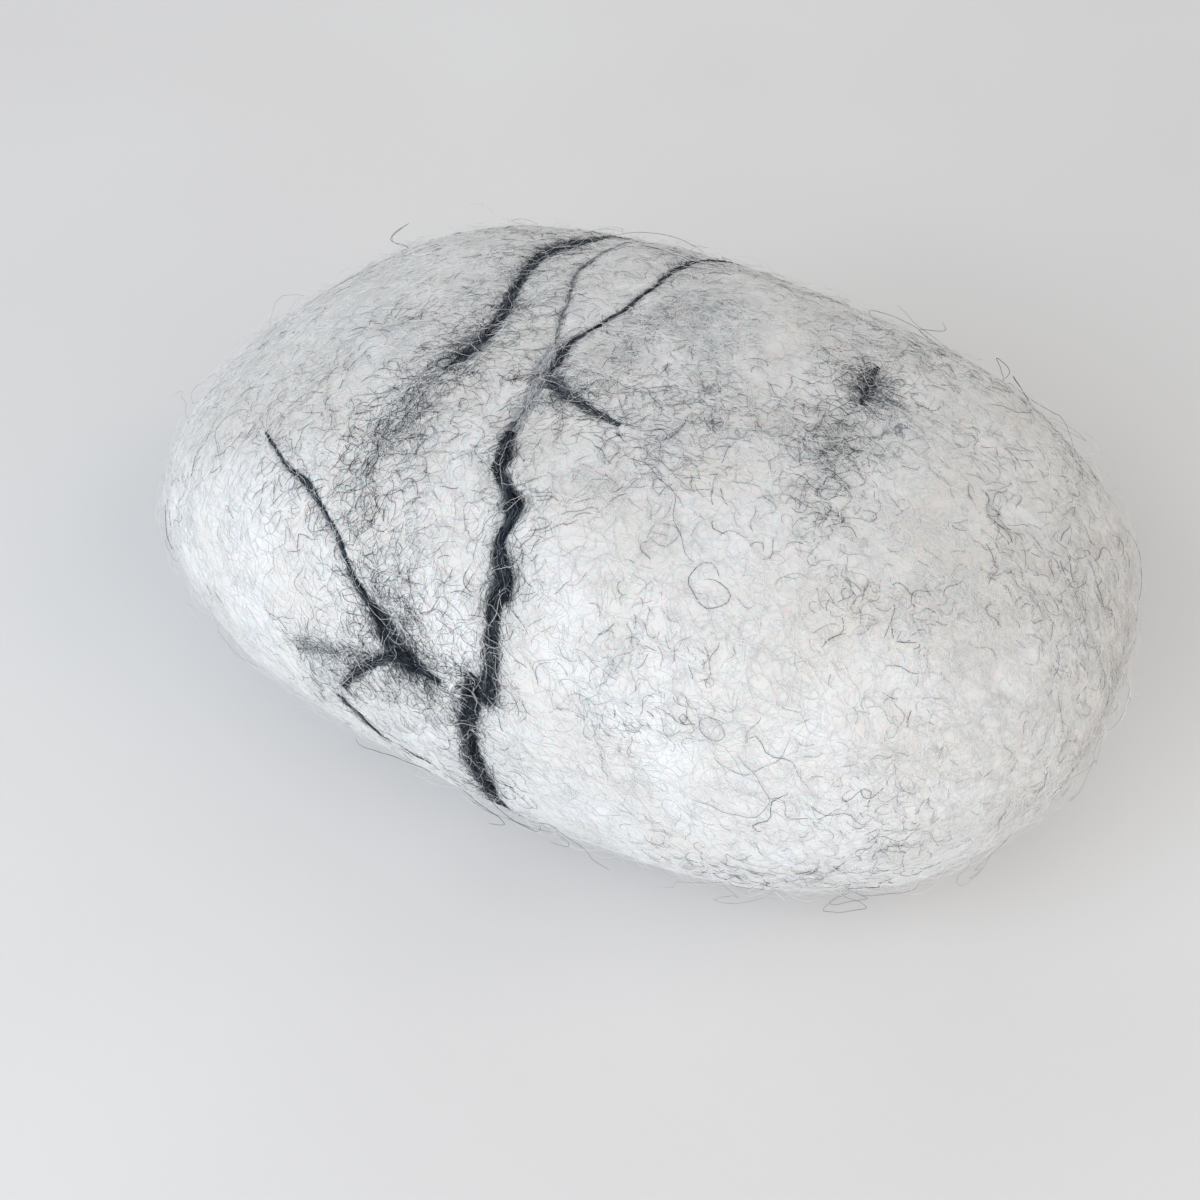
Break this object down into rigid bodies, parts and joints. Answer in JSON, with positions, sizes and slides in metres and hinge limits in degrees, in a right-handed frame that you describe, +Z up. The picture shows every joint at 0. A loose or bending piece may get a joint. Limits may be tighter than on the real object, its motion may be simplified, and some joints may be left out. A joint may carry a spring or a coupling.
{
  "type": "felted wool dryer ball",
  "caption": "Pebble-shaped dryer ball of felted wool: a wound core under wrapped batts and a white felt jacket with dark veins laid into it.",
  "frame": {"origin": "on the surface that the pebble rests on, under the middle of its length and width", "axes": "+X along the length towards the broad end, +Y to the back, away from the face with the thick front vein, +Z up from the rest flat"},
  "size_m": [0.095, 0.0624, 0.044],
  "materials": {
    "white_felt": "hand-felted white wool, matt, with a fuzz of loose fibre",
    "inner_batt": "undyed carded wool batt, half felted",
    "core_wool": "undyed wool batting, rolled tight and felted firm",
    "dark_lock": "blue-black wool roving, felted into the jacket",
    "grey_lock": "thin dark roving seen through a veil of white fibre"
  },
  "bodies": {
    "root": {"outer_jacket": "white_felt", "crosswise_layer": "inner_batt", "lengthwise_layer": "inner_batt", "core_batting": "core_wool", "front_vein": "dark_lock", "right_branch": "dark_lock", "veil_branch": "grey_lock", "junction_tail": "grey_lock", "back_vein": "dark_lock", "left_vein": "dark_lock", "lower_link": "dark_lock", "edge_strand": "dark_lock", "left_haze_tuft": "grey_lock", "right_smudge_tuft": "grey_lock"}
  },
  "joints": []
}
